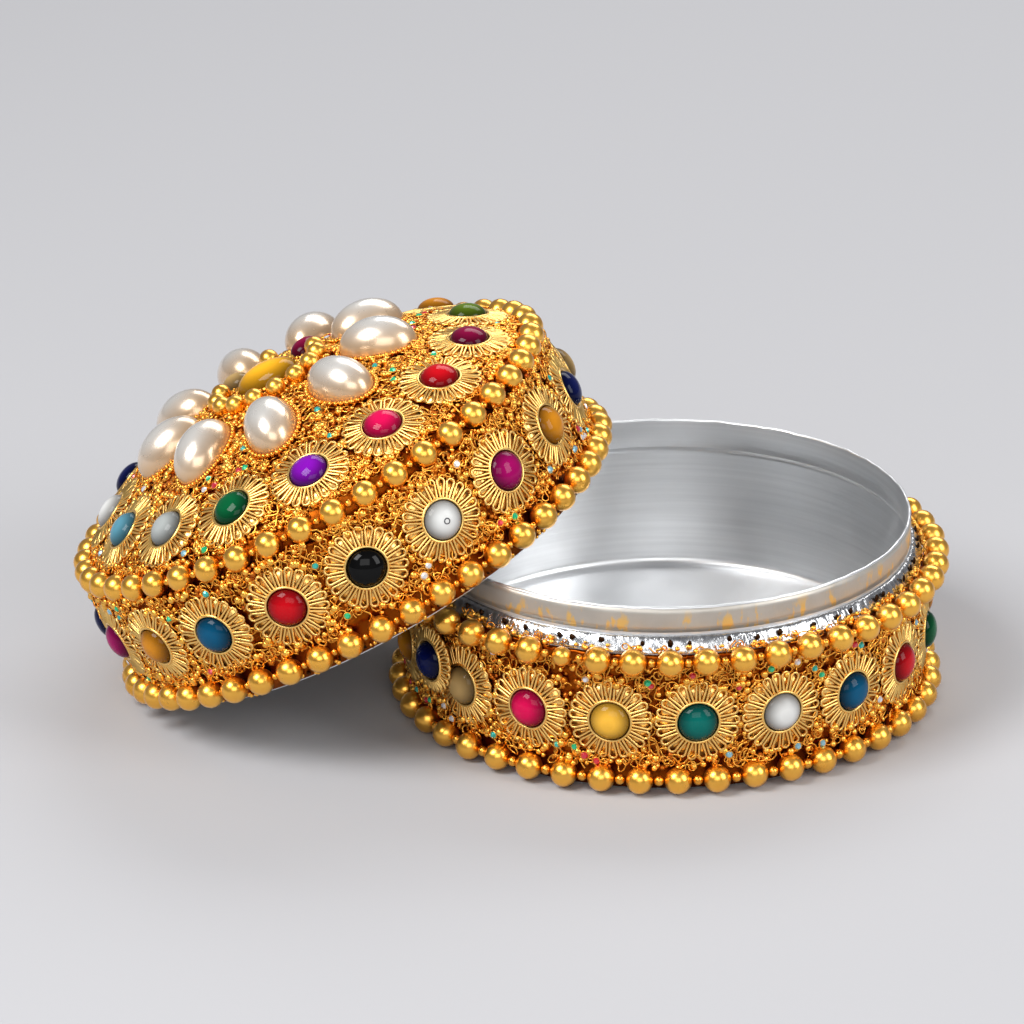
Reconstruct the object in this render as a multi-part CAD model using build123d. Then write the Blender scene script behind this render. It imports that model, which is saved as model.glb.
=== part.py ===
from build123d import *
import os
from itertools import cycle
from math import sin, cos, tan, asin, sqrt, hypot, pi, radians, degrees

# Lac-work kumkum box: a pressed aluminium tin with a lift-off domed lid, both coated in lac and
# set with gold beads, sunburst settings, glass cabochons and half pearls.
# The origin is the centre of the base's underside. The lid leans on the base towards -X.

# Tin, base half
neck_radius = 38.3
rim_height = 29.6
sheet = 0.5
wall_step = 0.7
floor_height = 4.0
floor_corner = 1.5
corner_share = 0.3
foot_width = 2.0
neck_height = 4.3
shoulder_rise = 2.9
shoulder_edge = 0.5
shoulder_fold = 1.2

# Tin, lid half
lid_clearance = 0.3
skirt_height = 19.0
slope_width = 2.1
slope_rise = 2.4
dome_rise = 11.4

# Lac coating
lac = 0.95
dome_lac = 1.2
dome_overhang = 0.4
dome_edge_rise = 1.5
lac_edge = 0.4
groove_room = 0.1
groove_floor = 0.2

# Bead rows: each has its smallest spacer bead, and the rest follows from the beads and the tin
bead = 2.1
small_bead = bead - 0.6
room = 0.05
row_spacers = {"bottom": 0.8, "top": 0.61, "rim": 0.5, "shoulder": 0.6}
bottom_row_lift = 0.35
top_row_drop = 0.2
top_row_gap = 0.1
rim_row_lift = 0.9
shoulder_row_room = 0.17
shoulder_seat = (1.1, 0.264)
small_bead_angle = -106.0

# Sunburst settings and round stones; the bands' settings fill the height between their rows
setting_radius = 6.4
setting_notch = 0.7
setting_petals = 24
setting_room = 0.1
base_margins = (0.95, 1.8)
skirt_margins = (0.9, 1.1)
dome_margin = 0.5
plate = 0.5
seat_gap = 0.1
stone_radius = 3.0
stone_height = 1.8
bezel_wall = 0.4
bezel_height = 1.3
base_flower_start = -133.3
skirt_flower_start = -149.24
dome_flower_start = -146.6

# The last setting of the base, laid over the first one where the ring closes
over_petals = 0.9
over_margin = 1.1
over_run = 5.54
over_gap = 0.3

# Crown of the lid
pearls, pearl_start = 9, -82.0
pearl_fill = 0.791
pearl_height_share = 0.72
pearl_gap = 1.3
cup_margin = 0.55
cup_height = 1.0
centre_size = (5.2, 4.0, 2.6)
side_size = (3.0, 2.3, 2.0)
side_shift = 1.0
side_gaps = {"champagne": 5.5, "ruby": 3.5}
crown_ball = 1.6
crown_ball_gap = 1.25
crown_ball_room = 0.2
crown_ball_clear = 30.0

# Small trim laid in the lac between the settings, as shares of the setting beside it
chaton_share = 0.11
chaton_taper = 0.55
chaton_height = 0.6
scroll_share = 0.13
scroll_shift = 0.32
scroll_wire = 0.2
trim_gap = 0.1
dome_trim_gap = 0.5

# Pose of the lid
lid_tilt = 27.5
contact_gap = 0.2

# Heights and radii of the tin and its lac
body_radius = neck_radius + wall_step
base_lac_radius = body_radius + lac
shoulder_radius = base_lac_radius + room
shoulder_top = rim_height - neck_height
shoulder_low = shoulder_top - shoulder_rise
lid_inner = neck_radius + lid_clearance
lid_outer = lid_inner + sheet
skirt_lac_radius = lid_outer + lac
slope_radius = lid_outer - slope_width
slope_height = skirt_height + slope_rise
shell_top = slope_height + dome_rise
dome_edge = slope_radius + dome_overhang
dome_edge_height = slope_height + dome_edge_rise
dome_top = shell_top + dome_lac
dome_radius = (dome_edge**2 + (dome_top - dome_edge_height) ** 2) / (2 * (dome_top - dome_edge_height))

# Bead rows
groove = bead + groove_room
bottom_row_radius = body_radius + groove_floor + groove
bottom_row_height = bead + bottom_row_lift
top_row_radius = shoulder_radius + groove + top_row_gap
top_row_height = shoulder_low - top_row_drop
rim_row_radius = lid_outer + groove_floor + groove
rim_row_height = bead + rim_row_lift
shoulder_row_radius = slope_radius + shoulder_seat[0] * (bead + shoulder_row_room)
shoulder_row_height = slope_height + shoulder_seat[1] * (bead + shoulder_row_room)

# Settings in the bands
bezel_radius = stone_radius + seat_gap + bezel_wall
base_setting = (top_row_height - bottom_row_height - 2 * bead - sum(base_margins)) / 2
skirt_setting = (shoulder_row_height - rim_row_height - 2 * bead - sum(skirt_margins)) / 2
base_flower_height = bottom_row_height + bead + base_margins[0] + base_setting
skirt_flower_height = rim_row_height + bead + skirt_margins[0] + skirt_setting
base_ring = base_lac_radius + seat_gap
skirt_ring = skirt_lac_radius + seat_gap
dome_ring = dome_edge - setting_radius + dome_margin
over_setting = bezel_radius + over_petals
over_height = top_row_height - bead - over_margin - over_setting

# Crown
crown_ball_ring = centre_size[0] + cup_margin + crown_ball + crown_ball_gap
side_ring = crown_ball_ring + side_shift
pearl_inner = crown_ball_ring + crown_ball + pearl_gap
pearl_outer = dome_ring - setting_radius
pearl_ring = (pearl_inner + pearl_outer) / 2
pearl_reach = (pearl_outer - pearl_inner) / 2
pearl_long = pearl_reach - cup_margin
pearl_wide = tan(pearl_fill * pi / pearls) * sqrt(pearl_ring**2 - pearl_reach**2) - cup_margin
pearl_size = (pearl_long, pearl_wide, pearl_height_share * pearl_long)

# The lid stands on one bead of its rim row, with its edge across the base's rim
tilt = radians(lid_tilt)
lid_height = bead - rim_row_height * cos(tilt) + rim_row_radius * sin(tilt)
contact_run = (rim_height + contact_gap - lid_height) / sin(tilt)
half_chord = sqrt(lid_inner**2 - contact_run**2)
lid_centre = -sqrt((neck_radius + lid_clearance) ** 2 - half_chord**2) - contact_run * cos(tilt)
lid_place = Location((lid_centre, 0, lid_height), (0, -lid_tilt, 0))

base_colours = "champagne pink yellow teal white blue red green amber purple".split()
skirt_colours = "magenta amber blue red black white magenta amber navy champagne green".split()
skirt_colours += "purple teal pink yellow olive light_blue red navy".split()
dome_colours = "light_blue clear green purple pink red ruby olive amber blue magenta".split()
dome_colours += "teal yellow navy white".split()


def at(angle, radius, height):
    return (radius * cos(radians(angle)), radius * sin(radians(angle)), height)


def on_wall(angle, radius, height):
    a = radians(angle)
    return Plane(at(angle, radius, height), (-sin(a), cos(a), 0), (cos(a), sin(a), 0)).location


def on_dome(angle, radius, lift=seat_gap):
    a = radians(angle)
    out = radius / dome_radius
    up = sqrt(1 - out**2)
    surface = dome_top - dome_radius + sqrt(dome_radius**2 - radius**2)
    point = at(angle, radius + lift * out, surface + lift * up)
    return Plane(point, (-sin(a), cos(a), 0), (cos(a) * out, sin(a) * out, up)).location


# Angle taken up on a ring by something of this half width
def half_angle(half_width, ring):
    return degrees(asin(half_width / ring))


def setting_step(radius, ring):
    return 2 * half_angle(radius + setting_room / 2, ring)


def even_angles(start, step):
    count = int(360 / step)
    return [start + i * 360 / count for i in range(count)]


def turned(points):
    return revolve(Plane.XZ * make_face(Polyline(*points, close=True)), Axis.Z)


def save(name, shapes, place=None):
    solids = [s for shape in shapes for s in shape.solids()]
    if place:
        solids = [s.moved(place) for s in solids]
    export_step(solids[0] if len(solids) == 1 else Compound(children=solids), f"parts/{name}.step")


# A closed row of beads with a spacer bead between each two
def bead_row(name, radius, height, start, place=None, first=bead):
    spacer = row_spacers[name.split("_")[1]]
    count = int(180 / half_angle(bead + spacer + room, radius))
    step = 360 / count
    spacer = radius * sin(radians(step / 2)) - bead - room
    beads = [Pos(at(start + i * step, radius, height)) * Sphere(bead if i else first) for i in range(count)]
    spacers = [Pos(at(start + (i + 0.5) * step, radius, height)) * Sphere(spacer) for i in range(count)]
    save(name + "_beads", beads, place)
    save(name + "_spacers", spacers, place)


def sunburst(radius):
    points = []
    for i in range(2 * setting_petals):
        reach = radius - (setting_notch if i % 2 else 0)
        points.append(at(i * 180 / setting_petals, reach, 0)[:2])
    disc = extrude(make_face(Polyline(*points, close=True)), plate)
    bezel = Pos(0, 0, bezel_height / 2) * Cylinder(bezel_radius, bezel_height)
    seat = Pos(0, 0, plate + bezel_height / 2) * Cylinder(stone_radius + seat_gap, bezel_height)
    return (disc + bezel) - seat


def cabochon(size):
    half = Sphere(1, arc_size1=0, align=(Align.CENTER, Align.CENTER, Align.MIN))
    return Pos(0, 0, plate + room) * scale(half, by=size)


def oval_cup(size):
    outer = extrude(Ellipse(size[0] + cup_margin, size[1] + cup_margin), cup_height)
    inner = Pos(0, 0, plate) * extrude(Ellipse(size[0] + seat_gap, size[1] + seat_gap), cup_height)
    return outer - inner


def chaton(setting):
    radius = chaton_share * setting
    return Cone(radius, radius * chaton_taper, chaton_height, align=(Align.CENTER, Align.CENTER, Align.MIN))


# Chatons with a scroll on each side, next to the two bead rows of a band
def band_trim(ring, low_row, high_row, setting, angles):
    chatons, scrolls = [], []
    reach = scroll_share * setting + scroll_wire
    loop = Pos(0, 0, scroll_wire) * Torus(scroll_share * setting, scroll_wire)
    shift = degrees(scroll_shift * setting / ring)
    for angle in angles:
        for height in (low_row + bead + reach + trim_gap, high_row - bead - reach - trim_gap):
            chatons.append(on_wall(angle, ring, height) * chaton(setting))
            scrolls += [on_wall(angle + side, ring, height) * loop for side in (-shift, shift)]
    return chatons, scrolls


def stones_by_colour(prefix, colours, places, collected):
    stone = cabochon((stone_radius, stone_radius, stone_height))
    for place, colour in zip(places, cycle(colours)):
        collected.setdefault(f"{prefix}_{colour}", []).append(place * stone)


# Base tin: foot ring, recessed floor, straight wall, shoulder ridge and neck
def base_dish():
    wall_inside = body_radius - sheet - room
    neck_inside = neck_radius - sheet
    corner = floor_corner * corner_share
    return turned([
        (0, floor_height - sheet),
        (body_radius - foot_width, floor_height - sheet),
        (body_radius - foot_width, 0),
        (body_radius, 0),
        (body_radius, shoulder_low),
        (shoulder_radius, shoulder_low),
        (shoulder_radius, shoulder_low + shoulder_edge),
        (neck_radius, shoulder_top),
        (neck_radius, rim_height),
        (neck_inside, rim_height),
        (neck_inside, shoulder_top - sheet),
        (wall_inside, shoulder_low + shoulder_fold),
        (wall_inside, floor_height + floor_corner),
        (wall_inside - corner, floor_height + corner),
        (wall_inside - floor_corner, floor_height),
        (0, floor_height),
    ])


# Lac band of the base, with a seat for the bottom bead row
def base_lac():
    band = turned([
        (body_radius, lac_edge),
        (base_lac_radius, lac_edge),
        (base_lac_radius, shoulder_low - room),
        (body_radius, shoulder_low - room),
    ])
    return band - Pos(0, 0, bottom_row_height) * Torus(bottom_row_radius, groove)


def dome_arc(radius, height, top):
    sphere = (radius**2 + (top - height) ** 2) / (2 * (top - height))
    half = radius / 2
    middle = (half, top - sphere + sqrt(sphere**2 - half**2))
    return ThreePointArc((radius, height), middle, (0, top))


# Lid tin: skirt, slope and shallow dome of one thickness
def lid_shell():
    outer = dome_arc(slope_radius, slope_height, shell_top)
    inner = dome_arc(slope_radius - sheet, slope_height - sheet, shell_top - sheet)
    sides = Polyline(
        (slope_radius, slope_height),
        (lid_outer, skirt_height),
        (lid_outer, 0),
        (lid_inner, 0),
        (lid_inner, skirt_height - sheet / 2),
        (slope_radius - sheet, slope_height - sheet),
    )
    crown = Line((0, shell_top), (0, shell_top - sheet))
    return revolve(Plane.XZ * make_face(outer + sides + inner + crown), Axis.Z)


# Lac of the lid's skirt, with a seat for the rim bead row
def lid_skirt_lac():
    band = turned([
        (lid_outer, lac_edge),
        (skirt_lac_radius, lac_edge),
        (skirt_lac_radius, shoulder_row_height - groove - room),
        (lid_outer, skirt_height),
    ])
    return band - Pos(0, 0, rim_row_height) * Torus(rim_row_radius, groove)


# Lac of the lid's dome
def lid_dome_lac():
    outer = dome_arc(dome_edge, dome_edge_height, dome_top)
    inner = dome_arc(slope_radius, slope_height, shell_top)
    edge = Line((slope_radius, slope_height), (dome_edge, dome_edge_height))
    crown = Line((0, dome_top), (0, shell_top))
    return revolve(Plane.XZ * make_face(outer + edge + inner + crown), Axis.Z)


os.makedirs("parts", exist_ok=True)

# The base
save("base_dish", [base_dish()])
save("base_lac", [base_lac()])
bead_row("base_bottom", bottom_row_radius, bottom_row_height, -90)
bead_row("base_top", top_row_radius, top_row_height, small_bead_angle, first=small_bead)

base_step = setting_step(base_setting, base_ring)
over_angle = base_flower_start - degrees(over_run / base_ring)
over_clear = degrees((over_run + over_setting + bezel_radius + over_gap) / base_ring)
base_angles = [base_flower_start + i * base_step for i in range(1 + int((360 - over_clear) / base_step))]
base_places = [on_wall(a, base_ring, base_flower_height) for a in base_angles]

# The laid-over setting is lifted clear of the bezel and stone that it partly covers
reach = max(hypot(over_run, over_height - base_flower_height) - over_setting, 0)
covered = stone_height * sqrt(max(1 - (reach / stone_radius) ** 2, 0))
over_lift = max(bezel_height, plate + room + covered) + room
over_place = on_wall(over_angle, base_ring + over_lift, over_height)
base_stones = {}
save("base_settings", [place * sunburst(base_setting) for place in base_places])
save("base_over_setting", [over_place * sunburst(over_setting)])
stones_by_colour("base_stones", base_colours, base_places, base_stones)
stones_by_colour("base_stones", ["navy"], [over_place], base_stones)
for name, shapes in base_stones.items():
    save(name, shapes)
gaps = [a + base_step / 2 for a in base_angles[:-1]]
chatons, scrolls = band_trim(base_lac_radius + room, bottom_row_height, top_row_height, base_setting, gaps)
save("base_chatons", chatons)
save("base_scrolls", scrolls)

# The lid
save("lid_shell", [lid_shell()], lid_place)
save("lid_skirt_lac", [lid_skirt_lac()], lid_place)
save("lid_dome_lac", [lid_dome_lac()], lid_place)
bead_row("lid_rim", rim_row_radius, rim_row_height, 180, lid_place)
bead_row("lid_shoulder", shoulder_row_radius, shoulder_row_height, -90, lid_place)

skirt_angles = even_angles(skirt_flower_start, setting_step(skirt_setting, skirt_ring))
dome_angles = even_angles(dome_flower_start, setting_step(setting_radius, dome_ring))
skirt_places = [on_wall(a, skirt_ring, skirt_flower_height) for a in skirt_angles]
dome_places = [on_dome(a, dome_ring) for a in dome_angles]
lid_stones = {}
save("lid_skirt_settings", [place * sunburst(skirt_setting) for place in skirt_places], lid_place)
save("lid_dome_settings", [place * sunburst(setting_radius) for place in dome_places], lid_place)
stones_by_colour("lid_stones", skirt_colours, skirt_places, lid_stones)
stones_by_colour("lid_stones", dome_colours, dome_places, lid_stones)
for name, shapes in lid_stones.items():
    save(name, shapes, lid_place)

# The crown of half pearls, oval stones and balls
quarter = Rotation(0, 0, 90)
pearl_step = 360 / pearls
pearl_places = [on_dome(pearl_start + i * pearl_step, pearl_ring) * quarter for i in range(pearls)]
save("lid_pearl_cups", [place * oval_cup(pearl_size) for place in pearl_places], lid_place)
save("lid_pearls", [place * cabochon(pearl_size) for place in pearl_places], lid_place)
centre_place = Pos(0, 0, dome_top + seat_gap)
side_angles = {colour: pearl_start + gap * pearl_step for colour, gap in side_gaps.items()}
side_places = {colour: on_dome(angle, side_ring) * quarter for colour, angle in side_angles.items()}
cups = [centre_place * oval_cup(centre_size)] + [place * oval_cup(side_size) for place in side_places.values()]
save("lid_crown_cups", cups, lid_place)
save("lid_crown_amber_stone", [centre_place * cabochon(centre_size)], lid_place)
for colour, place in side_places.items():
    save(f"lid_crown_{colour}_stone", [place * cabochon(side_size)], lid_place)

# Balls run round the centre between the two side stones, with one more between the stones
first_ball = side_angles["champagne"] + crown_ball_clear
ball_run = side_angles["ruby"] + 360 - crown_ball_clear - first_ball
ball_count = int(ball_run / (2 * half_angle(crown_ball + crown_ball_room, crown_ball_ring)))
ball_angles = [first_ball + i * ball_run / ball_count for i in range(ball_count + 1)]
ball_angles.append(sum(side_angles.values()) / 2)
ball_places = [on_dome(a, crown_ball_ring, crown_ball + seat_gap) for a in ball_angles]
save("lid_crown_balls", [place * Sphere(crown_ball) for place in ball_places], lid_place)

gaps = [a + 180 / len(skirt_angles) for a in skirt_angles]
chatons, scrolls = band_trim(skirt_lac_radius + room, rim_row_height, shoulder_row_height, skirt_setting, gaps)
chaton_ring = pearl_outer + chaton_share * setting_radius + dome_trim_gap
dome_gaps = [a + 180 / len(dome_angles) for a in dome_angles]
chatons += [on_dome(a, chaton_ring) * chaton(setting_radius) for a in dome_gaps]
save("lid_chatons", chatons, lid_place)
save("lid_scrolls", scrolls, lid_place)
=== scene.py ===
import bpy
import bmesh
import random
from math import sin, cos, asin, sqrt, pi, radians
from mathutils import Matrix, Vector, noise


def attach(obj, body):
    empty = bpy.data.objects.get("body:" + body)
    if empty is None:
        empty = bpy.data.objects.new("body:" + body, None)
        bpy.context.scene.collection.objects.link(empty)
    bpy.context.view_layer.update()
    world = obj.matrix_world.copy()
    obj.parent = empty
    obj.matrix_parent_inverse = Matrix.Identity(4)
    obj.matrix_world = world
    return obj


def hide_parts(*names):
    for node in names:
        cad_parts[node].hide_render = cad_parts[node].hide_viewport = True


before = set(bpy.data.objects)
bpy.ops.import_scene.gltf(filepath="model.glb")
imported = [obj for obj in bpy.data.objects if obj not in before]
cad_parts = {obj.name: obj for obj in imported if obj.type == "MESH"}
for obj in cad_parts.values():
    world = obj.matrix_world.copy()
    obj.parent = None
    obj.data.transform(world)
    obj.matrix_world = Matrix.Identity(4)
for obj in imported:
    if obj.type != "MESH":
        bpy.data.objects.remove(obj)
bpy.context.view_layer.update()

# All sizes here are millimetres, as on the maker's bench; finished pieces are scaled to metres.
TO_METRES = 0.001

# The tin
NECK_RADIUS = 38.3
SHEET = 0.5
BODY_RADIUS = 39.0
FLOOR_HEIGHT = 4.0
SHOULDER_RADIUS = 40.0
SHOULDER_LOW = 22.4
SHOULDER_TOP = 25.3
RIM_HEIGHT = 29.6
LID_INNER = NECK_RADIUS + 0.3
LID_OUTER = LID_INNER + SHEET
SKIRT_HEIGHT = 19.0
SLOPE_RADIUS = LID_OUTER - 2.1
SLOPE_HEIGHT = SKIRT_HEIGHT + 2.4
SHELL_TOP = SLOPE_HEIGHT + 11.4

# The lac coat
LAC = 0.95
BASE_LAC_RADIUS = BODY_RADIUS + LAC
SKIRT_LAC_RADIUS = LID_OUTER + LAC
DOME_TOP = SHELL_TOP + 1.2
DOME_EDGE = SLOPE_RADIUS + 0.4
DOME_EDGE_HEIGHT = SLOPE_HEIGHT + 1.5
DOME_RISE = DOME_TOP - DOME_EDGE_HEIGHT
DOME_RADIUS = (DOME_EDGE**2 + DOME_RISE**2) / (2 * DOME_RISE)

# Bead rows: radius, height, count, angle of the first bead
BEAD = 2.1
SMALL_BEAD = 1.5
BOTTOM_ROW = (41.4, 2.45, 44, -90.0)
TOP_ROW = (42.3, 22.2, 48, -106.0)
RIM_ROW = (41.5, 3.0, 49, 180.0)
SHOULDER_ROW = (39.5, 22.0, 45, -90.0)

# Settings and stones
SETTING_RADIUS = 6.4
SMALL_SETTING_RADIUS = 4.6
PETALS = 22
STONE_RADIUS = 3.0
STONE_HEIGHT = 1.9
STONE_SEAT = 0.55
BASE_FLOWER_HEIGHT = 11.9
OVER_SETTING_HEIGHT = 14.6
OVER_SETTING_LIFT = 2.1
SKIRT_FLOWER_HEIGHT = 12.4
DOME_FLOWER_RADIUS = 31.5
PEARL_RING = 18.3
PEARL_SIZE = (6.25, 4.26, 4.6)
CENTRE_SIZE = (5.2, 4.0, 2.6)
SIDE_SIZE = (3.0, 2.3, 2.0)
SIDE_RING = 9.6
SIDE_STONES = {"champagne": 138.0, "ruby": 58.0}
CROWN_BALL = 1.6
CROWN_BALL_RING = 8.6

BASE_ANGLES = [-133.3 + 18.535 * i for i in range(19)]
OVER_ANGLE = -133.3 - 7.926
SKIRT_ANGLES = [-149.24 + 360 / 19 * i for i in range(19)]
DOME_ANGLES = [-146.6 + 24.0 * i for i in range(15)]
PEARL_ANGLES = [-82.0 + 40.0 * i for i in range(9)]
BALL_ANGLES = [168.0 + 220.0 / 9 * i for i in range(10)] + [98.0]
BASE_COLOURS = "champagne pink yellow teal white blue red green amber purple".split() * 2
SKIRT_COLOURS = "magenta amber blue red black white magenta amber navy champagne green".split()
SKIRT_COLOURS += "purple teal pink yellow olive light_blue red navy".split()
DOME_COLOURS = "light_blue clear green purple pink red ruby olive amber blue magenta".split()
DOME_COLOURS += "teal yellow navy white".split()

STONE_TINTS = {
    "amber": (0.56, 0.21, 0.01), "black": (0.003, 0.003, 0.003), "blue": (0.002, 0.075, 0.16),
    "champagne": (0.42, 0.27, 0.10), "clear": (0.36, 0.38, 0.37), "green": (0.001, 0.09, 0.028),
    "light_blue": (0.09, 0.26, 0.34), "magenta": (0.32, 0.002, 0.10), "navy": (0.002, 0.006, 0.07),
    "olive": (0.09, 0.15, 0.008), "pink": (0.58, 0.004, 0.07), "purple": (0.19, 0.004, 0.36),
    "red": (0.46, 0.003, 0.008), "ruby": (0.19, 0.002, 0.035), "teal": (0.002, 0.12, 0.10),
    "white": (0.66, 0.66, 0.64), "yellow": (0.78, 0.42, 0.045),
}
CHATON_TINTS = [(0.01, 0.50, 0.22), (0.02, 0.42, 0.36), (0.60, 0.02, 0.04), (0.25, 0.50, 0.62), (0.75, 0.75, 0.78)]

# How the lid leans on the base, worked out as a resting contact on the floor and the rim
LID_TILT = radians(27.5)
LID_HEIGHT = BEAD - RIM_ROW[1] * cos(LID_TILT) + RIM_ROW[0] * sin(LID_TILT)
CONTACT_RUN = (RIM_HEIGHT + 0.2 - LID_HEIGHT) / sin(LID_TILT)
HALF_CHORD = sqrt(LID_INNER**2 - CONTACT_RUN**2)
LID_CENTRE = -sqrt((NECK_RADIUS + 0.3) ** 2 - HALF_CHORD**2) - CONTACT_RUN * cos(LID_TILT)
LID_PLACE = Matrix.Translation((LID_CENTRE, 0, LID_HEIGHT)) @ Matrix.Rotation(-LID_TILT, 4, "Y")
PLACES = {"base": Matrix.Identity(4), "lid": LID_PLACE}

# Camera, from the photograph's perspective
FOCAL_PIXELS = 5700.0
FRAME_PIXELS = 1024
CAMERA_PITCH = radians(22.6)
CAMERA_ROLL = radians(-0.83)
CAMERA_TURN = radians(7.1)
CAMERA_TARGET = (-23.74, 0.0, 29.5)
CAMERA_DISTANCE = 887.4


# Places on the box

def at(angle, radius, height):
    return Vector((radius * cos(radians(angle)), radius * sin(radians(angle)), height))


def seat(point, across, out):
    out = out.normalized()
    across = across.normalized()
    up = out.cross(across)
    turn = Matrix((across, up, out)).transposed().to_4x4()
    return Matrix.Translation(point) @ turn


def on_wall(angle, radius, height):
    a = radians(angle)
    return seat(at(angle, radius, height), Vector((-sin(a), cos(a), 0)), Vector((cos(a), sin(a), 0)))


def dome_height(radius):
    return DOME_TOP - DOME_RADIUS + sqrt(DOME_RADIUS**2 - radius**2)


def on_dome(angle, radius, lift=0.1):
    a = radians(angle)
    out = radius / DOME_RADIUS
    up = sqrt(1 - out**2)
    point = at(angle, radius + lift * out, dome_height(radius) + lift * up)
    return seat(point, Vector((-sin(a), cos(a), 0)), Vector((cos(a) * out, sin(a) * out, up)))


# Shader node groups and materials

def shader_group(name, inputs, outputs):
    tree = bpy.data.node_groups.new(name, "ShaderNodeTree")
    for label, kind, value in inputs:
        socket = tree.interface.new_socket(label, in_out="INPUT", socket_type=kind)
        if value is not None:
            socket.default_value = value
    for label, kind in outputs:
        tree.interface.new_socket(label, in_out="OUTPUT", socket_type=kind)
    return tree, tree.nodes.new("NodeGroupInput"), tree.nodes.new("NodeGroupOutput")


def node(tree, kind, values=None, **settings):
    made = tree.nodes.new(kind)
    for key, value in settings.items():
        setattr(made, key, value)
    for key, value in (values or {}).items():
        if isinstance(value, bpy.types.NodeSocket):
            tree.links.new(value, made.inputs[key])
        else:
            made.inputs[key].default_value = value
    return made


def grain_group():
    tree, given, out = shader_group(
        "fine_grain",
        [("Scale", "NodeSocketFloat", 900.0), ("Low", "NodeSocketFloat", 0.3), ("High", "NodeSocketFloat", 0.4)],
        [("Value", "NodeSocketFloat"), ("Noise", "NodeSocketFloat")],
    )
    where = node(tree, "ShaderNodeTexCoord")
    pattern = node(tree, "ShaderNodeTexNoise", {"Vector": where.outputs["Object"], "Scale": given.outputs["Scale"], "Detail": 4.0})
    spread = node(tree, "ShaderNodeMapRange", {"Value": pattern.outputs["Fac"], "From Min": 0.3, "From Max": 0.7,
                                               "To Min": given.outputs["Low"], "To Max": given.outputs["High"]})
    tree.links.new(spread.outputs["Result"], out.inputs["Value"])
    tree.links.new(pattern.outputs["Fac"], out.inputs["Noise"])
    return tree


def streak_group():
    tree, given, out = shader_group(
        "drawn_streaks",
        [("Stretch", "NodeSocketVector", (1.0, 1.0, 1.0)), ("Turn", "NodeSocketVector", (0.0, 0.0, 0.0)),
         ("Scale", "NodeSocketFloat", 100.0)],
        [("Noise", "NodeSocketFloat")],
    )
    where = node(tree, "ShaderNodeTexCoord")
    turn = node(tree, "ShaderNodeMapping", {"Vector": where.outputs["Object"], "Rotation": given.outputs["Turn"]})
    stretch = node(tree, "ShaderNodeVectorMath", {0: turn.outputs["Vector"], 1: given.outputs["Stretch"]}, operation="MULTIPLY")
    pattern = node(tree, "ShaderNodeTexNoise", {"Vector": stretch.outputs["Vector"], "Scale": given.outputs["Scale"], "Detail": 3.0})
    tree.links.new(pattern.outputs["Fac"], out.inputs["Noise"])
    return tree


GRAIN = grain_group()
STREAKS = streak_group()


def new_material(name, **values):
    material = bpy.data.materials.new(name)
    material.use_nodes = True
    shader = material.node_tree.nodes["Principled BSDF"]
    for key, value in values.items():
        shader.inputs[key.replace("_", " ")].default_value = value
    return material, material.node_tree, shader


def use_group(tree, group, values):
    made = tree.nodes.new("ShaderNodeGroup")
    made.node_tree = group
    for key, value in values.items():
        made.inputs[key].default_value = value
    return made


def mix_colour(tree, factor, low, high):
    made = node(tree, "ShaderNodeMix", data_type="RGBA")
    tree.links.new(factor, made.inputs[0])
    made.inputs[6].default_value = (*low, 1.0)
    made.inputs[7].default_value = (*high, 1.0)
    return made.outputs[2]


def gold(name, deep, bright, rough_low, rough_high, scale, bump, coat=0.0):
    material, tree, shader = new_material(name, Metallic=1.0, Coat_Weight=coat, Coat_Roughness=0.12)
    grain = use_group(tree, GRAIN, {"Scale": scale, "Low": rough_low, "High": rough_high})
    tree.links.new(mix_colour(tree, grain.outputs["Noise"], deep, bright), shader.inputs["Base Color"])
    tree.links.new(grain.outputs["Value"], shader.inputs["Roughness"])
    raise_it = node(tree, "ShaderNodeBump", {"Height": grain.outputs["Noise"], "Strength": bump, "Distance": 0.0001})
    tree.links.new(raise_it.outputs["Normal"], shader.inputs["Normal"])
    return material


def lac_ground(name):
    material, tree, shader = new_material(name, Metallic=0.75)
    grain = use_group(tree, GRAIN, {"Scale": 700.0, "Low": 0.22, "High": 0.5})
    blotch = use_group(tree, GRAIN, {"Scale": 260.0, "Low": 0.0, "High": 1.0})
    warm = mix_colour(tree, blotch.outputs["Value"], (0.34, 0.05, 0.003), (0.80, 0.27, 0.015))
    tree.links.new(warm, shader.inputs["Base Color"])
    tree.links.new(grain.outputs["Value"], shader.inputs["Roughness"])
    raise_it = node(tree, "ShaderNodeBump", {"Height": grain.outputs["Noise"], "Strength": 0.8, "Distance": 0.0004})
    tree.links.new(raise_it.outputs["Normal"], shader.inputs["Normal"])
    return material


def aluminium(name, stretch, turn=(0.0, 0.0, 0.0), low=0.26, high=0.38, bump=0.12, dark=(0.66, 0.67, 0.68), scale=100.0):
    material, tree, shader = new_material(name, Metallic=1.0)
    streak = use_group(tree, STREAKS, {"Stretch": stretch, "Turn": turn, "Scale": scale})
    grain = use_group(tree, GRAIN, {"Scale": 160.0, "Low": low, "High": high})
    shade = mix_colour(tree, streak.outputs["Noise"], dark, (0.84, 0.85, 0.86))
    tree.links.new(shade, shader.inputs["Base Color"])
    tree.links.new(grain.outputs["Value"], shader.inputs["Roughness"])
    raise_it = node(tree, "ShaderNodeBump", {"Height": streak.outputs["Noise"], "Strength": bump, "Distance": 0.0002})
    tree.links.new(raise_it.outputs["Normal"], shader.inputs["Normal"])
    return material


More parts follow.
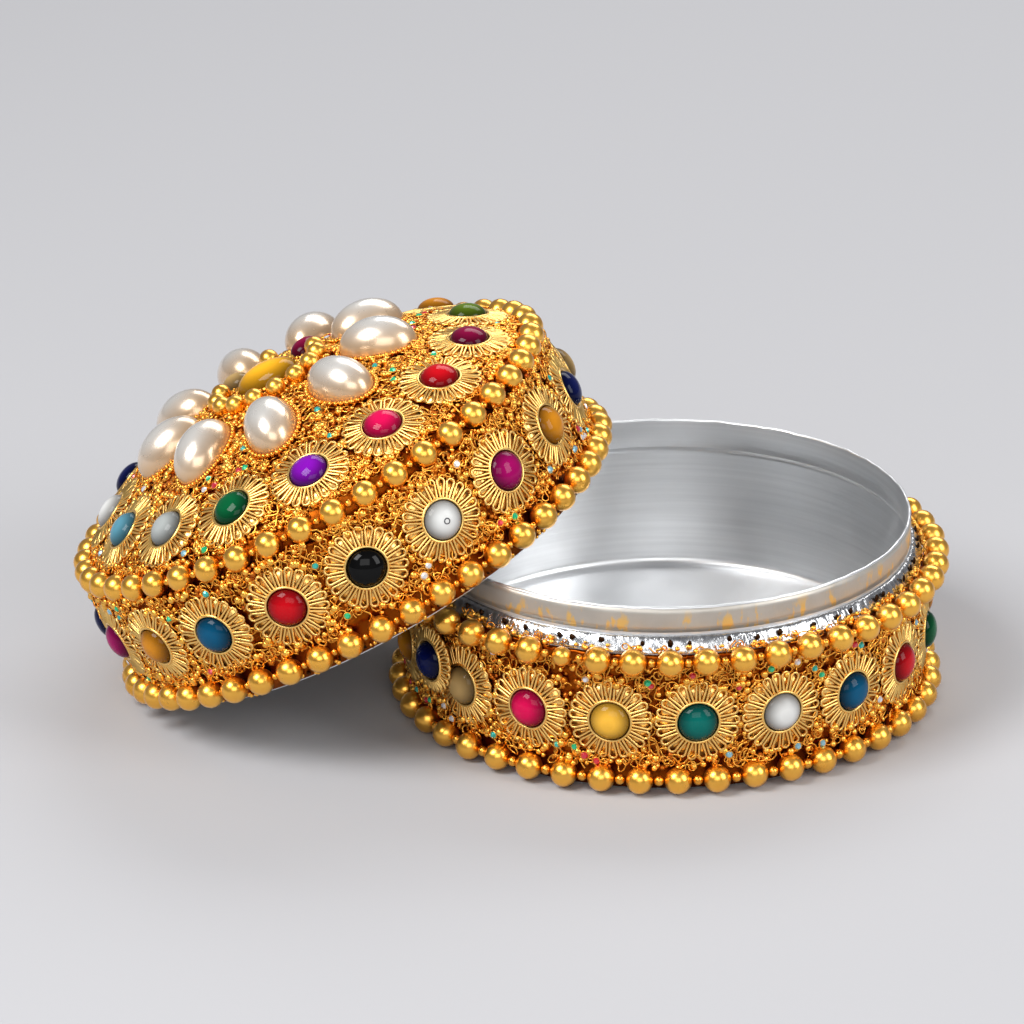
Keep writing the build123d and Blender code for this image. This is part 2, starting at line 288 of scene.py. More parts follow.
# Dull metal of the neck, with gold patches painted as reflections of the beads below
def neck_metal_painted_reflection():
    material, tree, shader = new_material("neck_metal_painted_reflection", Metallic=0.7)
    grain = use_group(tree, GRAIN, {"Scale": 300.0, "Low": 0.36, "High": 0.52})
    reflection_pattern = use_group(tree, STREAKS, {"Stretch": (1.0, 1.0, 0.45), "Scale": 620.0})
    reflection_mask = node(tree, "ShaderNodeMapRange", {"Value": reflection_pattern.outputs["Noise"], "From Min": 0.54, "From Max": 0.62})
    where = node(tree, "ShaderNodeTexCoord")
    height = node(tree, "ShaderNodeSeparateXYZ", {"Vector": where.outputs["Object"]})
    fade = node(tree, "ShaderNodeMapRange", {"Value": height.outputs["Z"], "From Min": 0.0292, "From Max": 0.0272})
    reflection_amount = node(tree, "ShaderNodeMath", {0: reflection_mask.outputs["Result"], 1: fade.outputs["Result"]}, operation="MULTIPLY")
    metal = mix_colour(tree, grain.outputs["Noise"], (0.42, 0.385, 0.34), (0.56, 0.53, 0.48))
    colour = node(tree, "ShaderNodeMix", data_type="RGBA")
    tree.links.new(reflection_amount.outputs["Value"], colour.inputs[0])
    tree.links.new(metal, colour.inputs[6])
    # Gold of the painted bead reflections, strongest low on the band
    colour.inputs[7].default_value = (0.78, 0.50, 0.16, 1.0)
    tree.links.new(colour.outputs[2], shader.inputs["Base Color"])
    tree.links.new(grain.outputs["Value"], shader.inputs["Roughness"])
    raise_it = node(tree, "ShaderNodeBump", {"Height": reflection_pattern.outputs["Noise"], "Strength": 0.3, "Distance": 0.0002})
    tree.links.new(raise_it.outputs["Normal"], shader.inputs["Normal"])
    return material


def glass_stone(colour, tint):
    material, tree, shader = new_material("glass_" + colour, Coat_Weight=0.17, Coat_Roughness=0.02, Specular_IOR_Level=0.06)
    grain = use_group(tree, GRAIN, {"Scale": 220.0, "Low": 0.06, "High": 0.12})
    # Painted shade: the colour darkens towards the rim, with a slightly paler centre as painted glow
    depth = node(tree, "ShaderNodeAttribute", attribute_name="edge")
    glow_tint = tuple(min(1.0, 1.05 * c) for c in tint)
    rim_shade_tint = tuple(0.2 * c for c in tint)
    tree.links.new(mix_colour(tree, depth.outputs["Fac"], glow_tint, rim_shade_tint), shader.inputs["Base Color"])
    tree.links.new(grain.outputs["Value"], shader.inputs["Roughness"])
    return material


def pearl_lustre():
    material, tree, shader = new_material("pearl_lustre", Coat_Weight=0.8, Coat_Roughness=0.12, IOR=1.55)
    shader.inputs["Metallic"].default_value = 0.6
    swirl = use_group(tree, GRAIN, {"Scale": 130.0, "Low": 0.2, "High": 0.34})
    # Painted shade and sheen: the colour darkens and warms towards the rim
    edge = node(tree, "ShaderNodeAttribute", attribute_name="edge")
    tree.links.new(mix_colour(tree, edge.outputs["Fac"], (0.87, 0.835, 0.78), (0.62, 0.41, 0.22)), shader.inputs["Base Color"])
    tree.links.new(swirl.outputs["Value"], shader.inputs["Roughness"])
    return material


def chaton_glass():
    material, tree, shader = new_material("chaton_glass", Coat_Weight=1.0, Coat_Roughness=0.02, Metallic=0.3)
    tint = node(tree, "ShaderNodeAttribute", attribute_name="tint")
    tree.links.new(tint.outputs["Color"], shader.inputs["Base Color"])
    grain = use_group(tree, GRAIN, {"Scale": 900.0, "Low": 0.05, "High": 0.2})
    tree.links.new(grain.outputs["Value"], shader.inputs["Roughness"])
    return material


BEAD_GOLD = gold("bead_gold", (0.95, 0.45, 0.055), (1.0, 0.56, 0.095), 0.26, 0.34, 500.0, 0.04, coat=0.3)
SETTING_GOLD = gold("setting_gold", (0.95, 0.53, 0.12), (1.0, 0.72, 0.27), 0.27, 0.4, 900.0, 0.1)
WIRE_GOLD = gold("wire_gold", (0.72, 0.26, 0.018), (1.0, 0.54, 0.10), 0.2, 0.36, 1200.0, 0.1)
FOIL_GOLD = gold("foil_gold", (0.12, 0.014, 0.001), (0.42, 0.10, 0.006), 0.26, 0.46, 700.0, 0.6)
NECK_PAINTED_REFLECTION = neck_metal_painted_reflection()
# Near-black for the specks in the crevices along the bead rows
SPECK_BLACK = gold("speck_black", (0.010, 0.006, 0.004), (0.06, 0.025, 0.010), 0.3, 0.5, 900.0, 0.2)
# Grey for the painted shade inside the white stone's centre hole
HOLE_SHADE_GREY = gold("hole_shade_grey", (0.06, 0.06, 0.065), (0.16, 0.16, 0.17), 0.3, 0.5, 900.0, 0.2)
LAC_GROUND = lac_ground("lac_ground")
TILT_BACK = (0.0, LID_TILT, 0.0)
DISH_METAL = aluminium("drawn_aluminium", (0.3, 0.3, 14.0), low=0.33, high=0.44)
# Knurled shoulder: the streaks follow the knurl, and their dark-to-bright tone is painted light and shade on its facets
RIDGE_METAL = aluminium("knurled_aluminium", (18.0, 18.0, 0.6), low=0.15, high=0.3, bump=1.0, dark=(0.22, 0.23, 0.25), scale=60.0)
LID_METAL = aluminium("lid_aluminium", (0.3, 0.3, 14.0), turn=TILT_BACK)
PEARL = pearl_lustre()
CHATON = chaton_glass()
GLASS = {colour: glass_stone(colour, tint) for colour, tint in STONE_TINTS.items()}


# Making pieces

def finish_piece(name, mesh_maker, materials, body, nodes=(), smooth=True):
    mesh = bpy.data.meshes.new(name)
    if isinstance(mesh_maker, bmesh.types.BMesh):
        mesh_maker.to_mesh(mesh)
        mesh_maker.free()
    mesh.transform(Matrix.Scale(TO_METRES, 4) @ PLACES[body])
    for material in materials if isinstance(materials, list) else [materials]:
        mesh.materials.append(material)
    for face in mesh.polygons:
        face.use_smooth = smooth
    piece = bpy.data.objects.new(name, mesh)
    bpy.context.scene.collection.objects.link(piece)
    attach(piece, body)
    if nodes:
        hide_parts(*nodes)
    return piece


def stamp(target, template, place):
    copy = template.copy()
    copy.transform(place)
    target.from_mesh(copy)
    bpy.data.meshes.remove(copy)


def as_template(shape):
    mesh = bpy.data.meshes.new("template")
    shape.to_mesh(mesh)
    shape.free()
    return mesh


def ball(radius, around=20, along=12):
    shape = bmesh.new()
    bmesh.ops.create_uvsphere(shape, u_segments=around, v_segments=along, radius=radius)
    return as_template(shape)


def seed(radius, fine=1):
    shape = bmesh.new()
    bmesh.ops.create_icosphere(shape, subdivisions=fine, radius=radius)
    return as_template(shape)


def wire(points, radius, closed=False, sides=0):
    curve = bpy.data.curves.new("wire", "CURVE")
    curve.dimensions = "3D"
    curve.bevel_depth = radius
    curve.bevel_resolution = sides
    curve.use_fill_caps = not closed
    line = curve.splines.new("POLY")
    line.points.add(len(points) - 1)
    for spot, point in zip(line.points, points):
        spot.co = (*point, 1.0)
    line.use_cyclic_u = closed
    holder = bpy.data.objects.new("wire", curve)
    mesh = bpy.data.meshes.new_from_object(holder)
    bpy.data.objects.remove(holder)
    bpy.data.curves.remove(curve)
    return mesh


def lathe(outline, steps, closed=True):
    shape = bmesh.new()
    corners = [shape.verts.new((radius, 0, height)) for radius, height in outline]
    pairs = list(zip(corners, corners[1:]))
    if closed:
        pairs.append((corners[-1], corners[0]))
    edges = [shape.edges.new(pair) for pair in pairs]
    bmesh.ops.spin(shape, geom=corners + edges, cent=(0, 0, 0), axis=(0, 0, 1), angle=2 * pi, steps=steps, use_merge=True)
    bmesh.ops.remove_doubles(shape, verts=shape.verts, dist=0.0005)
    bmesh.ops.recalc_face_normals(shape, faces=shape.faces)
    return shape


def arc(centre, radius, start, end, steps):
    turn = [radians(start + (end - start) * i / steps) for i in range(steps + 1)]
    return [(centre[0] + radius * cos(a), centre[1] + radius * sin(a)) for a in turn]


def half_dome(size, height, around=36, along=18, girdle=0.35):
    shape = bmesh.new()
    bmesh.ops.create_uvsphere(shape, u_segments=around, v_segments=along, radius=1.0)
    everything = shape.verts[:] + shape.edges[:] + shape.faces[:]
    bmesh.ops.bisect_plane(shape, geom=everything, plane_co=(0, 0, 0), plane_no=(0, 0, 1), clear_inner=True, dist=1e-4)
    bmesh.ops.scale(shape, vec=(size[0], size[1], height), verts=shape.verts)
    rim = [edge for edge in shape.edges if edge.is_boundary]
    skirt = bmesh.ops.extrude_edge_only(shape, edges=rim)["geom"]
    low = [v for v in skirt if isinstance(v, bmesh.types.BMVert)]
    bmesh.ops.translate(shape, vec=(0, 0, -girdle), verts=low)
    bmesh.ops.holes_fill(shape, edges=[edge for edge in shape.edges if edge.is_boundary])
    bmesh.ops.recalc_face_normals(shape, faces=shape.faces)
    # Edge runs from 0 at the centre to 1 at the rim; the stone and pearl colours use it for painted shading towards the
    # rim
    layer = shape.verts.layers.float.new("edge")
    for vert in shape.verts:
        reach = sqrt((vert.co.x / size[0]) ** 2 + (vert.co.y / size[1]) ** 2)
        vert[layer] = min(1.0, max(0.0, (reach - 0.35) / 0.65)) ** 1.3
    return as_template(shape)


# Sunburst setting: hollow wire petals round a bezel, on a shallow foil cone
def sunburst(radius):
    shape = bmesh.new()
    inner = STONE_RADIUS + 0.42
    cone = lathe([(inner - 0.3, 0.85), (radius * 0.93, 0.36), (radius * 0.93, 0.14), (inner - 0.3, 0.14)], PETALS)
    stamp(shape, as_template(cone), Matrix.Identity(4))
    slope = 0.5 / (radius - inner)
    wide = radius * sin(pi / PETALS) * 0.66
    length = radius - wide - inner
    outline = [(inner, -0.2), (inner + length * 0.6, -wide * 0.72), (inner + length, -wide)]
    outline += [(inner + length + wide * 0.95 * cos(a), wide * sin(a)) for a in (-0.8, 0.0, 0.8)]
    outline += [(inner + length, wide), (inner + length * 0.6, wide * 0.72), (inner, 0.2)]
    petal = wire([(x, y, 1.02 - (x - inner) * slope) for x, y in outline], 0.25)
    for i in range(PETALS):
        stamp(shape, petal, Matrix.Rotation(2 * pi * i / PETALS, 4, "Z"))
    circle = [(inner - 0.12) * Vector((cos(2 * pi * i / 36), sin(2 * pi * i / 36), 0)) for i in range(36)]
    bezel = wire([(p.x, p.y, 1.12) for p in circle], 0.24, closed=True, sides=1)
    stamp(shape, bezel, Matrix.Identity(4))
    return as_template(shape)


# Oval cup with a beaded edge
def oval_cup(size, beads, bead=0.42):
    shape = bmesh.new()
    bmesh.ops.create_cone(shape, cap_ends=True, segments=40, radius1=1.0, radius2=1.0, depth=0.6)
    bmesh.ops.scale(shape, vec=(size[0] + 0.3, size[1] + 0.3, 1), verts=shape.verts)
    bmesh.ops.translate(shape, vec=(0, 0, 0.3), verts=shape.verts)
    grain = seed(bead, 2)
    for i in range(beads):
        a = 2 * pi * i / beads
        stamp(shape, grain, Matrix.Translation(((size[0] + 0.42) * cos(a), (size[1] + 0.42) * sin(a), 0.55)))
    return as_template(shape)


def bead_row(name, row, body, nodes, small_first=False):
    radius, height, count, start = row
    beads, spacers = bmesh.new(), bmesh.new()
    step = 360.0 / count
    big, small = ball(BEAD), ball(SMALL_BEAD)
    spacer = ball(radius * sin(radians(step / 2)) - BEAD - 0.05, 12, 8)
    for i in range(count):
        tilt = Matrix.Rotation(random.uniform(0, 6.28), 4, random.choice("XYZ"))
        shift = Vector((random.uniform(-0.06, 0.06), random.uniform(-0.06, 0.06), random.uniform(-0.08, 0.08)))
        place = Matrix.Translation(at(start + i * step, radius, height) + shift) @ tilt
        stamp(beads, small if small_first and i == 0 else big, place)
        stamp(spacers, spacer, Matrix.Translation(at(start + (i + 0.5) * step, radius, height)))
    finish_piece(name + "_beads", beads, BEAD_GOLD, body, nodes=(nodes[0],))
    finish_piece(name + "_spacers", spacers, WIRE_GOLD, body, nodes=(nodes[1],))


def stones(prefix, body, groups):
    template = half_dome((STONE_RADIUS, STONE_RADIUS), STONE_HEIGHT)
    by_colour = {}
    for colours, places in groups:
        for colour, place in zip(colours, places):
            by_colour.setdefault(colour, []).append(place)
    for colour, places in by_colour.items():
        shape = bmesh.new()
        for place in places:
            stamp(shape, template, place @ Matrix.Translation((0, 0, STONE_SEAT + 0.35)))
        finish_piece(f"{prefix}_{colour}_glass", shape, GLASS[colour], body, nodes=(f"{prefix}_{colour}",))


# Loose wirework templates: rings, curls, commas and scrolls
def wirework(thin=0.17):
    ring = [(0.85 * cos(2 * pi * i / 9), 0.85 * sin(2 * pi * i / 9), 0.0) for i in range(9)]
    oval = [(1.15 * cos(2 * pi * i / 10), 0.62 * sin(2 * pi * i / 10), 0.1 * cos(2 * pi * i / 5)) for i in range(10)]
    curl = [((0.25 + 0.075 * i) * cos(0.75 * i), (0.25 + 0.075 * i) * sin(0.75 * i), 0.05 * (i % 3)) for i in range(14)]
    comma = [(0.9 * cos(0.5 * i), 0.9 * sin(0.5 * i), 0.06 * i) for i in range(6)]
    scroll = [(0.42 * (i - 5), 0.62 * sin(0.9 * (i - 5)), 0.08 * cos(i)) for i in range(11)]
    loop = [(1.2 * sin(2 * pi * i / 12), 0.6 * sin(4 * pi * i / 12), 0.15 * cos(2 * pi * i / 12)) for i in range(12)]
    return [wire(ring, thin, True), wire(oval, thin, True), wire(curl, thin), wire(comma, thin), wire(scroll, thin), wire(loop, thin, True)]


# Wall and dome areas that are not under a setting
def free_on_wall(height_low, height_high, radius, centres, keep):
    def pick():
        while True:
            angle = random.uniform(-180, 180)
            height = random.uniform(height_low, height_high)
            point = at(angle, radius, height)
            if all((point - centre).length > keep for centre in centres):
                return lambda lift: on_wall(angle, radius + lift, height)
    return pick


def free_on_dome(inner, outer, centres, keeps):
    def pick():
        while True:
            angle = random.uniform(-180, 180)
            radius = sqrt(random.uniform(inner**2, outer**2))
            point = at(angle, radius, dome_height(radius))
            if all((point - centre).length > keep for centre, keep in zip(centres, keeps)):
                return lambda lift: on_dome(angle, radius, lift)
    return pick


def filler(prefix, body, pick, wires, seeds, granules, wire_nodes=()):
    templates = wirework()
    work = bmesh.new()
    for i in range(wires):
        spin = Matrix.Rotation(random.uniform(0, 2 * pi), 4, "Z") @ Matrix.Rotation(random.uniform(-0.45, 0.45), 4, "X")
        size = Matrix.Scale(random.uniform(0.6, 1.15), 4)
        stamp(work, random.choice(templates), pick()(random.uniform(0.25, 0.9)) @ spin @ size)
    finish_piece(prefix + "_wirework", work, WIRE_GOLD, body, nodes=wire_nodes)
    gold_seed, lac_seed = seed(1.0, 2), seed(1.0, 1)
    beads, lumps = bmesh.new(), bmesh.new()
    for i in range(seeds):
        stamp(beads, gold_seed, pick()(random.uniform(0.2, 0.8)) @ Matrix.Scale(random.uniform(0.32, 0.7), 4))
    for i in range(granules):
        stamp(lumps, lac_seed, pick()(random.uniform(0.0, 0.4)) @ Matrix.Scale(random.uniform(0.3, 0.6), 4))
    finish_piece(prefix + "_seed_beads", beads, BEAD_GOLD, body)
    finish_piece(prefix + "_lac_granules", lumps, LAC_GROUND, body)


# Curls, seeds and dark specks along an edge, between two (radius, height) ends of its width
def trim_edge(prefix, body, low, high, curls, seeds, specks):
    templates = wirework()
    gold_seed = seed(1.0, 2)

    def spot(lift=0.0):
        share = random.random()
        radius, height = (a + (b - a) * share for a, b in zip(low, high))
        return on_wall(random.uniform(-180, 180), radius + lift, height) @ Matrix.Rotation(random.uniform(0, 6.28), 4, "Z")

    work, beads, dark = bmesh.new(), bmesh.new(), bmesh.new()
    for i in range(curls):
        stamp(work, random.choice(templates), spot(0.2) @ Matrix.Scale(random.uniform(0.5, 0.8), 4))
    for i in range(seeds):
        stamp(beads, gold_seed, spot(0.1) @ Matrix.Scale(random.uniform(0.22, 0.5), 4))
    for i in range(specks):
        stamp(dark, gold_seed, spot() @ Matrix.Diagonal((random.uniform(0.15, 0.42), random.uniform(0.15, 0.3), 0.16, 1.0)))
    if curls:
        finish_piece(prefix + "_curls", work, WIRE_GOLD, body)
    finish_piece(prefix + "_seeds", beads, BEAD_GOLD, body)
    if specks:
        finish_piece(prefix + "_dark_specks", dark, SPECK_BLACK, body)


def chatons(name, body, places, nodes):
    shape = bmesh.new()
    layer = shape.verts.layers.float_color.new("tint")
    cup = wire([(0.72 * cos(2 * pi * i / 10), 0.72 * sin(2 * pi * i / 10), 0.2) for i in range(10)], 0.13, True)
    rings = bmesh.new()
    for place in places:
        scale = Matrix.Scale(random.uniform(0.75, 1.0), 4)
        made = bmesh.ops.create_cone(shape, cap_ends=True, segments=8, radius1=0.68, radius2=0.36, depth=0.4,
                                     matrix=place @ Matrix.Translation((0, 0, 0.35)) @ scale)
        tint = random.choice(CHATON_TINTS)
        for vert in made["verts"]:
            vert[layer] = (*tint, 1.0)
        stamp(rings, cup, place @ scale)
    finish_piece(name, shape, CHATON, body, nodes=nodes, smooth=False)
    finish_piece(name + "_cups", rings, WIRE_GOLD, body)


def settings(name, body, places, template, nodes):
    shape = bmesh.new()
    for place in places:
        stamp(shape, template, place @ Matrix.Rotation(random.uniform(0, 0.3), 4, "Z"))
    finish_piece(name, shape, SETTING_GOLD, body, nodes=nodes)


# Lac coat: a lathe with an uneven, lumpy outer face
def lumpy(shape, amount, scale, keep_inside):
    for vert in shape.verts:
        radius = Vector((vert.co.x, vert.co.y)).length
        if not keep_inside(radius, vert.co.z):
            push = amount * noise.noise(vert.co * scale)
            vert.co.x *= 1 + push / max(radius, 5.0)
            vert.co.y *= 1 + push / max(radius, 5.0)
            vert.co.z += 0.3 * push
    return shape


def steps_between(start, end, count):
    return [tuple(a + (b - a) * i / count for a, b in zip(start, end)) for i in range(count + 1)]


# The base

random.seed(11)
rim_fold = arc((NECK_RADIUS - SHEET / 2, RIM_HEIGHT - SHEET / 2), SHEET / 2, 0, 180, 6)
wall_inside = BODY_RADIUS - SHEET - 0.05
dish_outline = [(0, FLOOR_HEIGHT - SHEET), (BODY_RADIUS - 2.0, FLOOR_HEIGHT - SHEET)]
dish_outline += [(BODY_RADIUS - 2.0, 0.15), (BODY_RADIUS - 1.85, 0), (BODY_RADIUS - 0.15, 0), (BODY_RADIUS, 0.15)]
dish_outline += [(BODY_RADIUS, SHOULDER_LOW), (NECK_RADIUS + 0.02, SHOULDER_TOP - 0.1), (NECK_RADIUS, SHOULDER_TOP)]
dish_outline += [(NECK_RADIUS, 27.0)] + rim_fold + [(NECK_RADIUS - SHEET, 27.0), (NECK_RADIUS - SHEET, SHOULDER_TOP - SHEET + 0.1)]
dish_outline += [(NECK_RADIUS - SHEET + 0.05, SHOULDER_TOP - SHEET), (wall_inside, SHOULDER_TOP - SHEET - 0.7), (wall_inside, 23.6)]
dish_outline += [(wall_inside, 16.0), (wall_inside, 9.0)]
dish_outline += arc((wall_inside - 1.5, FLOOR_HEIGHT + 1.5), 1.5, 0, -90, 8)
dish_outline += [(20.0, FLOOR_HEIGHT), (0, FLOOR_HEIGHT)]
dish = lathe(dish_outline, 256)
for vert in dish.verts:
    if vert.co.z > RIM_HEIGHT - 0.3:
        vert.co.z += 0.16 * noise.noise(vert.co * 0.5) - 0.25 * max(0.0, noise.noise(vert.co * 1.3) - 0.4)
finish_piece("base_dish_metal", dish, DISH_METAL, "base", nodes=("base_dish",))

ridge_outline = [(NECK_RADIUS + 0.05, SHOULDER_TOP - 0.25), (NECK_RADIUS + 0.45, SHOULDER_TOP - 0.3)]
ridge_outline += steps_between((SHOULDER_RADIUS - 0.9, SHOULDER_LOW + 2.2), (SHOULDER_RADIUS + 0.15, SHOULDER_LOW + 0.4), 4)
ridge_outline += [(SHOULDER_RADIUS, SHOULDER_LOW + 0.1), (BODY_RADIUS + 0.05, SHOULDER_LOW + 0.1), (BODY_RADIUS - 0.2, SHOULDER_LOW + 0.4)]
ridge = lathe(ridge_outline, 480)
for vert in ridge.verts:
    radius = Vector((vert.co.x, vert.co.y)).length
    if vert.co.z > SHOULDER_LOW + 0.3 and radius > NECK_RADIUS + 0.3:
        along = Vector((vert.co.x * 2.6, vert.co.y * 2.6, vert.co.z * 0.2))
        vert.co += 0.24 * noise.noise(along) * Vector((vert.co.x / radius, vert.co.y / radius, 1.0)).normalized()
finish_piece("base_shoulder_ridge", ridge, RIDGE_METAL, "base")

base_lac_outline = steps_between((BASE_LAC_RADIUS - 0.1, 5.2), (BASE_LAC_RADIUS - 0.1, SHOULDER_LOW - 0.1), 34)
base_lac_outline += [(BODY_RADIUS + 0.02, SHOULDER_LOW - 0.1), (BODY_RADIUS + 0.02, 0.4), (BODY_RADIUS + 0.5, 0.4)]
base_lac_outline += [(BODY_RADIUS + 0.2, 2.4), (BODY_RADIUS + 0.4, 4.2)]
lac_shape = lumpy(lathe(base_lac_outline, 480), 0.5, 0.9, lambda r, z: r < BASE_LAC_RADIUS - 0.4)
finish_piece("base_lac_coat", lac_shape, FOIL_GOLD, "base", nodes=("base_lac",))

bead_row("base_bottom_row", BOTTOM_ROW, "base", ("base_bottom_beads", "base_bottom_spacers"))
bead_row("base_top_row", TOP_ROW, "base", ("base_top_beads", "base_top_spacers"), small_first=True)

burst, small_burst = sunburst(SETTING_RADIUS), sunburst(SMALL_SETTING_RADIUS + 0.6)
base_places = [on_wall(a, BASE_LAC_RADIUS + 0.1, BASE_FLOWER_HEIGHT) for a in BASE_ANGLES]
over_place = on_wall(OVER_ANGLE, BASE_LAC_RADIUS + OVER_SETTING_LIFT, OVER_SETTING_HEIGHT)
settings("base_sunbursts", "base", base_places, burst, ("base_settings",))
settings("base_over_sunburst", "base", [over_place], small_burst, ("base_over_setting",))
stones("base_stones", "base", [(BASE_COLOURS, base_places), (["navy"], [over_place])])

base_centres = [at(a, BASE_LAC_RADIUS, BASE_FLOWER_HEIGHT) for a in BASE_ANGLES]
pick_base = free_on_wall(4.0, 20.8, BASE_LAC_RADIUS, base_centres, 5.7)
filler("base", "base", pick_base, 1350, 900, 1100, ("base_scrolls",))
trim_edge("base_shoulder", "base", (SHOULDER_RADIUS + 0.5, SHOULDER_LOW + 0.7), (SHOULDER_RADIUS - 0.2, SHOULDER_LOW + 1.5), 150, 230, 0)
# Near-black specks in the crevice behind the top bead row
specks = bmesh.new()
speck = seed(1.0, 1)
for i in range(56):
    spot = on_wall(i * 360 / 56 + random.uniform(-2.5, 2.5), SHOULDER_RADIUS - random.uniform(0.2, 0.7), SHOULDER_LOW + 1.9)
    stamp(specks, speck, spot @ Matrix.Diagonal((random.uniform(0.35, 0.55), random.uniform(0.5, 0.8), 0.25, 1.0)))
finish_piece("base_shoulder_dark_specks", specks, SPECK_BLACK, "base")
# The neck band carries the painted reflections of the beads
band = steps_between((NECK_RADIUS + 0.03, 25.5), (NECK_RADIUS + 0.03, 29.3), 4) + [(NECK_RADIUS - 0.1, 29.3), (NECK_RADIUS - 0.1, 25.5)]
finish_piece("base_neck_painted_reflection_band", lathe(band, 192), NECK_PAINTED_REFLECTION, "base")
pick_open = free_on_wall(4.8, 19.6, BASE_LAC_RADIUS, base_centres, 6.9)
chatons("base_chaton_stones", "base", [pick_open()(0.75) for i in range(60)], ("base_chatons",))


# The lid

random.seed(23)
LAC_SKIRT = SKIRT_LAC_RADIUS - 0.1


def dome_profile(radius, height, top, count):
    rise = top - height
    sphere = (radius**2 + rise**2) / (2 * rise)
    return [(radius * i / count, top - sphere + sqrt(sphere**2 - (radius * i / count) ** 2)) for i in range(count + 1)]


shell_outline = dome_profile(SLOPE_RADIUS, SLOPE_HEIGHT, SHELL_TOP, 20) + [(LID_OUTER, SKIRT_HEIGHT), (LID_OUTER, 4.0)]
shell_outline += arc((LID_INNER + SHEET / 2, SHEET / 2), SHEET / 2, 0, -180, 6)
shell_outline += [(LID_INNER, 4.0), (LID_INNER, SKIRT_HEIGHT - SHEET / 2)]
shell_outline += dome_profile(SLOPE_RADIUS - SHEET, SLOPE_HEIGHT - SHEET, SHELL_TOP - SHEET, 20)[::-1]
finish_piece("lid_shell_metal", lathe(shell_outline, 192, closed=False), LID_METAL, "lid", nodes=("lid_shell",))

skirt_outline = steps_between((LAC_SKIRT, 5.2), (LAC_SKIRT, 19.6), 28)
skirt_outline += [(LID_OUTER + 0.02, 19.2), (LID_OUTER + 0.02, 0.4), (LID_OUTER + 0.5, 0.4), (LID_OUTER + 0.15, 2.4), (LID_OUTER + 0.3, 4.4)]
skirt_shape = lumpy(lathe(skirt_outline, 480), 0.5, 0.9, lambda r, z: r < LAC_SKIRT - 0.3)
finish_piece("lid_skirt_lac_coat", skirt_shape, FOIL_GOLD, "lid", nodes=("lid_skirt_lac",))

dome_outline = dome_profile(DOME_EDGE, DOME_EDGE_HEIGHT, DOME_TOP - 0.05, 60)
dome_outline += [(SLOPE_RADIUS + 0.7, SLOPE_HEIGHT + 0.2), (LID_OUTER + 0.35, SKIRT_HEIGHT + 0.15)]
dome_outline += [(LID_OUTER + 0.02, SKIRT_HEIGHT + 0.05), (SLOPE_RADIUS + 0.02, SLOPE_HEIGHT + 0.03)]
dome_outline += dome_profile(SLOPE_RADIUS, SLOPE_HEIGHT + 0.05, SHELL_TOP + 0.05, 16)[::-1]
dome_shape = lathe(dome_outline, 360, closed=False)
for vert in dome_shape.verts:
    radius = Vector((vert.co.x, vert.co.y)).length
    if 1.0 < radius < DOME_EDGE - 0.5 and vert.co.z > dome_height(radius) - 0.5:
        vert.co.z += 0.5 * noise.noise(vert.co * 0.9)
finish_piece("lid_dome_lac_coat", dome_shape, FOIL_GOLD, "lid", nodes=("lid_dome_lac",))

bead_row("lid_rim_row", RIM_ROW, "lid", ("lid_rim_beads", "lid_rim_spacers"))
bead_row("lid_shoulder_row", SHOULDER_ROW, "lid", ("lid_shoulder_beads", "lid_shoulder_spacers"))

skirt_places = [on_wall(a, SKIRT_LAC_RADIUS + 0.1, SKIRT_FLOWER_HEIGHT) for a in SKIRT_ANGLES]
dome_places = [on_dome(a, DOME_FLOWER_RADIUS) for a in DOME_ANGLES]
settings("lid_skirt_sunbursts", "lid", skirt_places, burst, ("lid_skirt_settings",))
settings("lid_dome_sunbursts", "lid", dome_places, burst, ("lid_dome_settings",))
stones("lid_stones", "lid", [(SKIRT_COLOURS, skirt_places), (DOME_COLOURS, dome_places)])

quarter = Matrix.Rotation(pi / 2, 4, "Z")
pearl_places = [on_dome(a, PEARL_RING) @ quarter for a in PEARL_ANGLES]
side_places = {colour: on_dome(angle, SIDE_RING) @ quarter for colour, angle in SIDE_STONES.items()}
centre_place = Matrix.Translation((0, 0, DOME_TOP + 0.1))
settings_shape = bmesh.new()
pearl_cup, pearl_dome = oval_cup(PEARL_SIZE, 40), half_dome(PEARL_SIZE, PEARL_SIZE[2])
pearls = bmesh.new()
for place in pearl_places:
    stamp(settings_shape, pearl_cup, place)
    stamp(pearls, pearl_dome, place @ Matrix.Translation((0, 0, 0.7)))
finish_piece("lid_pearl_settings", settings_shape, WIRE_GOLD, "lid", nodes=("lid_pearl_cups",))
finish_piece("lid_half_pearls", pearls, PEARL, "lid", nodes=("lid_pearls",))

crown = bmesh.new()
stamp(crown, oval_cup(CENTRE_SIZE, 30), centre_place)
for place in side_places.values():
    stamp(crown, oval_cup(SIDE_SIZE, 20, 0.34), place)
finish_piece("lid_crown_settings", crown, WIRE_GOLD, "lid", nodes=("lid_crown_cups",))
amber = bmesh.new()
stamp(amber, half_dome(CENTRE_SIZE, CENTRE_SIZE[2]), centre_place @ Matrix.Translation((0, 0, 0.7)))
finish_piece("lid_crown_amber_glass", amber, glass_stone("honey", (0.84, 0.41, 0.015)), "lid", nodes=("lid_crown_amber_stone",))
for colour, place in side_places.items():
    oval = bmesh.new()
    stamp(oval, half_dome(SIDE_SIZE, SIDE_SIZE[2]), place @ Matrix.Translation((0, 0, 0.7)))
    finish_piece(f"lid_crown_{colour}_glass", oval, GLASS[colour], "lid", nodes=(f"lid_crown_{colour}_stone",))
balls = bmesh.new()
crown_ball = ball(CROWN_BALL)
for angle in BALL_ANGLES:
    stamp(balls, crown_ball, on_dome(angle, CROWN_BALL_RING, CROWN_BALL + 0.1))
finish_piece("lid_crown_gold_balls", balls, BEAD_GOLD, "lid", nodes=("lid_crown_balls",))

